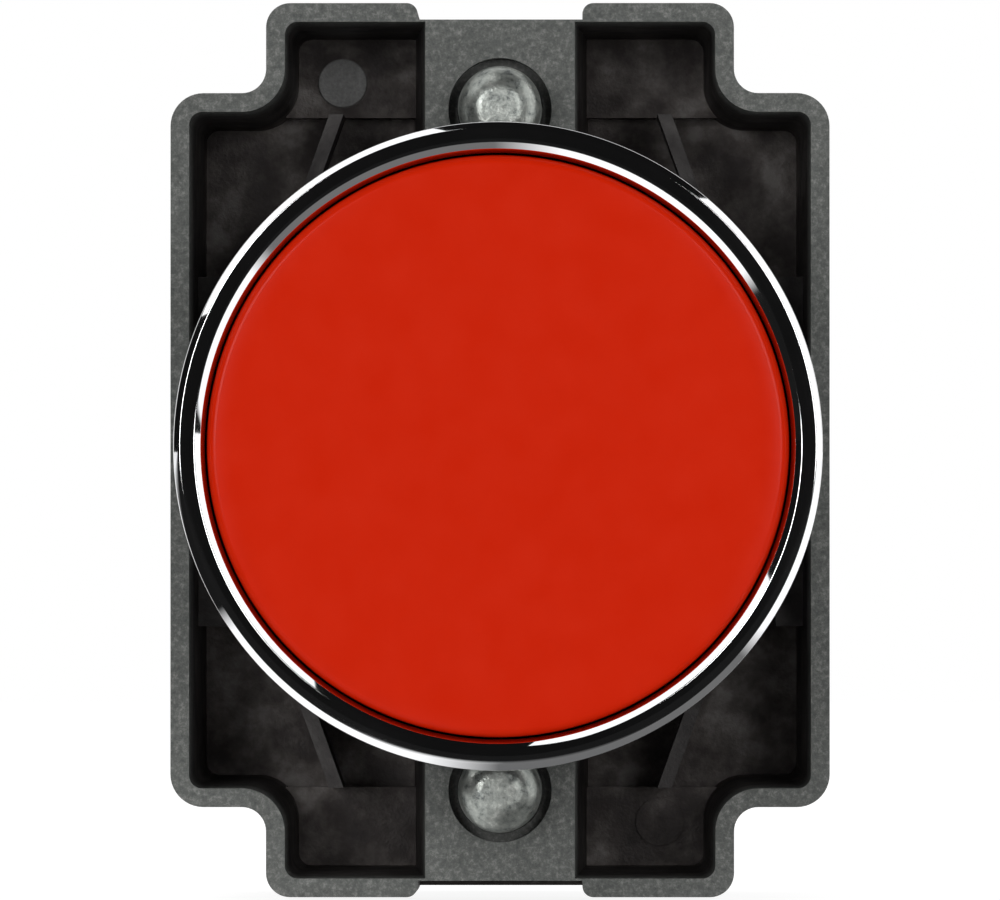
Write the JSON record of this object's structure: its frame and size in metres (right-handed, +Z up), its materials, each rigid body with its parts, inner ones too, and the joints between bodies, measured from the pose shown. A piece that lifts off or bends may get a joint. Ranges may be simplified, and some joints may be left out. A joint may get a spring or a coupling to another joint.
{
  "type": "panel push button",
  "caption": "Flush red stop push-button for a 22 mm panel hole, with a die-cast clamping collar and spring-loaded closed and open contact blocks.",
  "frame": {"origin": "on the button's axis, in the panel's front face, where the gasket seats", "axes": "+Y along the axis into the panel, away from the user; +Z up; +X to the user's right"},
  "size_m": [0.03, 0.0529, 0.0406],
  "materials": {
    "bright_chrome": "polished",
    "black_rubber": "moulded",
    "spring_steel": "drawn wire",
    "red_plastic": "satin",
    "black_plastic": "moulded",
    "die_cast_zinc": "as cast",
    "zinc_plated_steel": "zinc plated",
    "block_plastic": "moulded",
    "red_plunger_plastic": "moulded",
    "green_plunger_plastic": "moulded",
    "contact_brass": "rolled"
  },
  "bodies": {
    "head": {"bezel_barrel": "bright_chrome", "panel_gasket": "black_rubber", "wiper_seal": "black_rubber", "return_spring": "spring_steel"},
    "button": {"button_cap": "red_plastic", "push_stem": "black_plastic", "push_foot": "black_plastic", "stem_clip": "spring_steel"},
    "collar": {"fixing_collar": "die_cast_zinc", "nc_housing": "block_plastic", "nc_cover": "block_plastic", "nc_contact_spring": "spring_steel", "nc_plunger_spring": "spring_steel", "nc_mounting_screw": "zinc_plated_steel", "nc_fixed_contact_upper": "contact_brass", "nc_fixed_contact_lower": "contact_brass", "no_housing": "block_plastic", "no_cover": "block_plastic", "no_contact_spring": "spring_steel", "no_plunger_spring": "spring_steel", "no_mounting_screw": "zinc_plated_steel", "no_fixed_contact_upper": "contact_brass", "no_fixed_contact_lower": "contact_brass"},
    "clamp_screw_top": {"clamp_screw_top": "zinc_plated_steel"},
    "clamp_screw_bottom": {"clamp_screw_bottom": "zinc_plated_steel"},
    "nc_plunger": {"nc_plunger": "red_plunger_plastic"},
    "nc_bridge": {"nc_bridge": "contact_brass"},
    "nc_terminal_upper": {"nc_terminal_screw_upper": "zinc_plated_steel", "nc_saddle_upper": "zinc_plated_steel"},
    "nc_terminal_lower": {"nc_terminal_screw_lower": "zinc_plated_steel", "nc_saddle_lower": "zinc_plated_steel"},
    "no_plunger": {"no_plunger": "green_plunger_plastic"},
    "no_bridge": {"no_bridge": "contact_brass"},
    "no_terminal_upper": {"no_terminal_screw_upper": "zinc_plated_steel", "no_saddle_upper": "zinc_plated_steel"},
    "no_terminal_lower": {"no_terminal_screw_lower": "zinc_plated_steel", "no_saddle_lower": "zinc_plated_steel"}
  },
  "joints": [
    {"name": "button_press", "type": "slide", "parent": "head", "child": "button", "axis": [0, 1, 0], "range_m": [0, 0.0043], "stiffness_N_per_m": 1400, "springref_m": -0.003, "deforming": ["return_spring"]},
    {"name": "collar_twist", "type": "hinge", "parent": "head", "child": "collar", "pos_m": [0, 0, 0], "axis": [0, 1, 0], "range_deg": [0, 45]},
    {"name": "clamp_screw_top_advance", "type": "slide", "parent": "collar", "child": "clamp_screw_top", "axis": [0, -1, 0], "range_m": [-0.003, 0.002]},
    {"name": "clamp_screw_bottom_advance", "type": "slide", "parent": "collar", "child": "clamp_screw_bottom", "axis": [0, -1, 0], "range_m": [-0.003, 0.002]},
    {"name": "nc_plunger_travel", "type": "slide", "parent": "collar", "child": "nc_plunger", "axis": [0, 1, 0], "range_m": [0, 0.0043], "deforming": ["nc_plunger_spring"]},
    {"name": "nc_bridge_travel", "type": "slide", "parent": "collar", "child": "nc_bridge", "axis": [0, 1, 0], "range_m": [0, 0.0028], "deforming": ["nc_contact_spring"]},
    {"name": "nc_terminal_upper_lift", "type": "slide", "parent": "collar", "child": "nc_terminal_upper", "axis": [0, 1, 0], "range_m": [-0.00055, 0.003]},
    {"name": "nc_terminal_lower_lift", "type": "slide", "parent": "collar", "child": "nc_terminal_lower", "axis": [0, 1, 0], "range_m": [-0.00055, 0.003]},
    {"name": "no_plunger_travel", "type": "slide", "parent": "collar", "child": "no_plunger", "axis": [0, 1, 0], "range_m": [0, 0.0043], "deforming": ["no_plunger_spring"]},
    {"name": "no_bridge_travel", "type": "slide", "parent": "collar", "child": "no_bridge", "axis": [0, 1, 0], "range_m": [0, 0.00255], "deforming": ["no_contact_spring"]},
    {"name": "no_terminal_upper_lift", "type": "slide", "parent": "collar", "child": "no_terminal_upper", "axis": [0, 1, 0], "range_m": [-0.00055, 0.003]},
    {"name": "no_terminal_lower_lift", "type": "slide", "parent": "collar", "child": "no_terminal_lower", "axis": [0, 1, 0], "range_m": [-0.00055, 0.003]}
  ],
  "couplings": [
    {"joint": "nc_plunger_travel", "follows": "button_press", "ratio": 1},
    {"joint": "nc_bridge_travel", "follows": "button_press", "ratio": 0.6511},
    {"joint": "no_plunger_travel", "follows": "button_press", "ratio": 1},
    {"joint": "no_bridge_travel", "follows": "button_press", "ratio": 0.5929}
  ]
}
